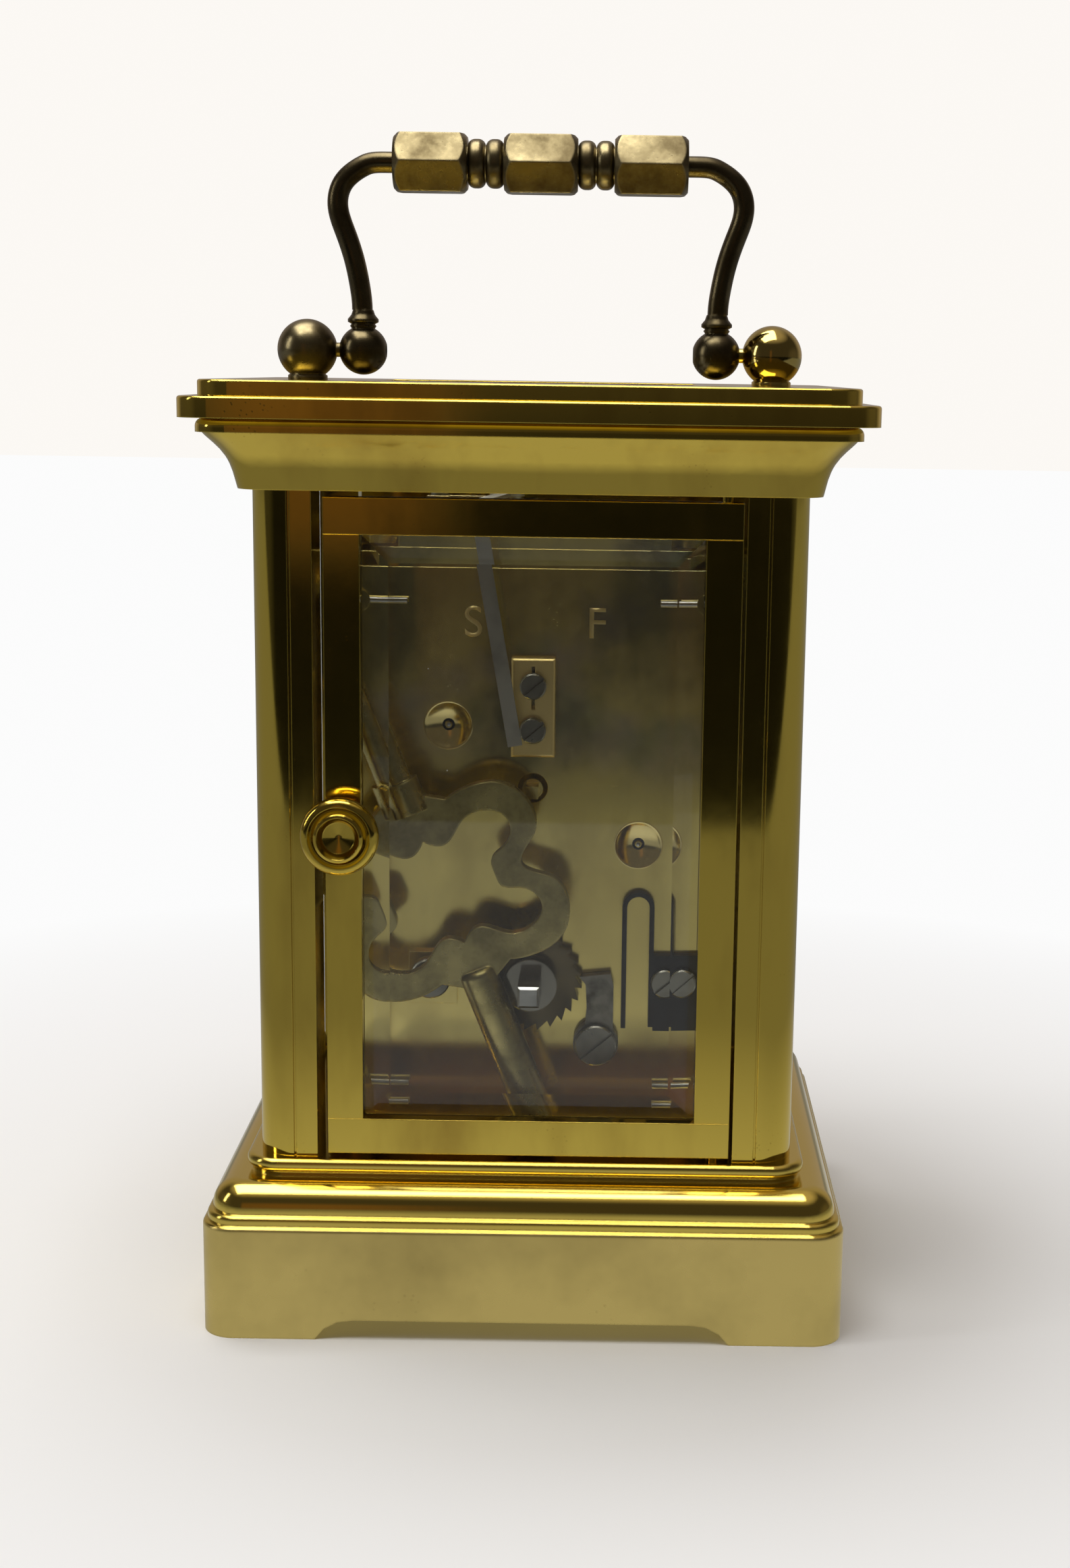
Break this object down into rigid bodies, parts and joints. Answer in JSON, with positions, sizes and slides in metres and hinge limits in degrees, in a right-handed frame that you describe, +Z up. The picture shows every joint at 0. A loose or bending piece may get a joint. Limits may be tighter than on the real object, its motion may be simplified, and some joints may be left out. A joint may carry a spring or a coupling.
{
  "type": "carriage clock",
  "caption": "Brass and bevelled-glass travelling clock: moulded plinth and cornice, folding carrying handle, rear door, key-wound movement with platform escapement.",
  "frame": {"origin": "centre of the case on the surface the feet stand on", "axes": "+Z up to the handle, +Y out of the rear door, -Y out of the dial"},
  "size_m": [0.0804, 0.0684, 0.1456],
  "materials": {
    "brass_polished": "polished and lacquered, slightly aged",
    "brass_satin": "satin with fine pitting",
    "brass_antique": "tarnished brown with worn bright edges",
    "brass_movement": "fine-grained plate brass",
    "glass": "clear, with wide ground bevels",
    "steel_grey": "grey steel",
    "steel_blued": "blued",
    "enamel_white": "glossy white enamel"
  },
  "bodies": {
    "root": {"base_plinth": "brass_satin", "bottom_plate": "brass_satin", "pillar_front_left": "brass_polished", "pillar_front_right": "brass_polished", "pillar_rear_left": "brass_polished", "pillar_rear_right": "brass_polished", "cornice": "brass_polished", "top_plate": "brass_polished", "top_glass": "glass", "side_glass_left": "glass", "side_glass_right": "glass", "front_glass": "glass", "case_screws": "steel_grey", "handle_post_left": "brass_polished", "handle_post_right": "brass_antique", "front_plate": "brass_movement", "back_plate": "brass_movement", "movement_pillars": "brass_movement", "taper_pins": "steel_grey", "platform": "brass_movement", "platform_screws": "steel_grey", "potence": "brass_movement", "plate_screws": "steel_grey", "click_spring": "steel_blued", "click_block": "steel_blued", "steady_plate": "brass_movement", "hairspring": "steel_blued", "escape_cock": "brass_movement", "balance_cock": "brass_movement", "dial": "enamel_white", "dial_mask": "brass_satin", "winding_key": "brass_antique"},
    "handle": {"handle_grip": "brass_antique", "handle_arm_left": "brass_antique", "handle_arm_right": "brass_antique"},
    "door": {"door_rail_top": "brass_polished", "door_rail_bottom": "brass_polished", "door_stile_hinge": "brass_polished", "door_stile_knob": "brass_polished", "door_glass": "glass", "door_knob": "brass_polished"},
    "winding": {"ratchet_wheel": "brass_movement", "barrel_arbor": "steel_grey"},
    "barrel": {"barrel_drum": "brass_movement", "mainspring": "steel_blued"},
    "intermediate": {"intermediate_wheel": "brass_movement"},
    "centre": {"centre_wheel": "brass_movement", "cannon_pinion": "brass_movement", "minute_hand": "steel_blued"},
    "third": {"third_wheel": "brass_movement"},
    "contrate": {"contrate_wheel": "brass_movement"},
    "escape": {"escape_wheel": "brass_movement"},
    "lever": {"pallet_lever": "steel_grey"},
    "balance": {"balance_wheel": "brass_movement"},
    "index": {"regulator": "steel_grey"},
    "click": {"click": "steel_grey"},
    "minute_work": {"minute_wheel": "brass_movement"},
    "hour_work": {"hour_wheel": "brass_movement", "hour_hand": "steel_blued"}
  },
  "joints": [
    {"name": "handle_fold", "type": "hinge", "parent": "root", "child": "handle", "pos_m": [0, 0, 0.11895], "axis": [1, 0, 0], "range_deg": [-88, 88]},
    {"name": "door_swing", "type": "hinge", "parent": "root", "child": "door", "pos_m": [-0.02315, 0.0259, 0.062], "axis": [0, 0, 1], "range_deg": [0, 110]},
    {"name": "winding_turn", "type": "hinge", "parent": "root", "child": "winding", "pos_m": [0, 0, 0.0399], "axis": [0, 1, 0], "continuous": true},
    {"name": "click_lift", "type": "hinge", "parent": "root", "child": "click", "pos_m": [-0.0084, 0.01, 0.0316], "axis": [0, 1, 0], "range_deg": [-6, 0]},
    {"name": "index_turn", "type": "hinge", "parent": "root", "child": "index", "pos_m": [0.0045, -0.0096, 0.0955], "axis": [0, 0, 1], "range_deg": [-8, 8]},
    {"name": "centre_turn", "type": "hinge", "parent": "root", "child": "centre", "pos_m": [0, 0, 0.0647], "axis": [0, 1, 0], "continuous": true},
    {"name": "barrel_turn", "type": "hinge", "parent": "root", "child": "barrel", "pos_m": [0, 0, 0.0399], "axis": [0, 1, 0], "continuous": true},
    {"name": "intermediate_turn", "type": "hinge", "parent": "root", "child": "intermediate", "pos_m": [-0.0135, 0, 0.0575], "axis": [0, 1, 0], "continuous": true},
    {"name": "third_turn", "type": "hinge", "parent": "root", "child": "third", "pos_m": [0.01075, 0, 0.0726], "axis": [0, 1, 0], "continuous": true},
    {"name": "contrate_turn", "type": "hinge", "parent": "root", "child": "contrate", "pos_m": [0, 0, 0.078], "axis": [0, 1, 0], "continuous": true},
    {"name": "escape_turn", "type": "hinge", "parent": "root", "child": "escape", "pos_m": [0, -0.0023, 0.0955], "axis": [0, 0, 1], "continuous": true},
    {"name": "lever_rock", "type": "hinge", "parent": "root", "child": "lever", "pos_m": [0.00194, -0.00545, 0.0955], "axis": [0, 0, 1], "range_deg": [-5, 5]},
    {"name": "balance_swing", "type": "hinge", "parent": "root", "child": "balance", "pos_m": [0.0045, -0.0096, 0.0955], "axis": [0, 0, 1], "range_deg": [-270, 270]},
    {"name": "minute_wheel_turn", "type": "hinge", "parent": "root", "child": "minute_work", "pos_m": [0.00413, 0, 0.0588], "axis": [0, 1, 0], "continuous": true},
    {"name": "hour_turn", "type": "hinge", "parent": "root", "child": "hour_work", "pos_m": [0, 0, 0.0647], "axis": [0, 1, 0], "continuous": true}
  ],
  "couplings": [
    {"joint": "intermediate_turn", "follows": "centre_turn", "ratio": -0.16667},
    {"joint": "barrel_turn", "follows": "centre_turn", "ratio": 0.027778},
    {"joint": "third_turn", "follows": "centre_turn", "ratio": -8},
    {"joint": "contrate_turn", "follows": "centre_turn", "ratio": 60},
    {"joint": "escape_turn", "follows": "centre_turn", "ratio": 600},
    {"joint": "minute_wheel_turn", "follows": "centre_turn", "ratio": -0.33333},
    {"joint": "hour_turn", "follows": "centre_turn", "ratio": 0.083333}
  ]
}
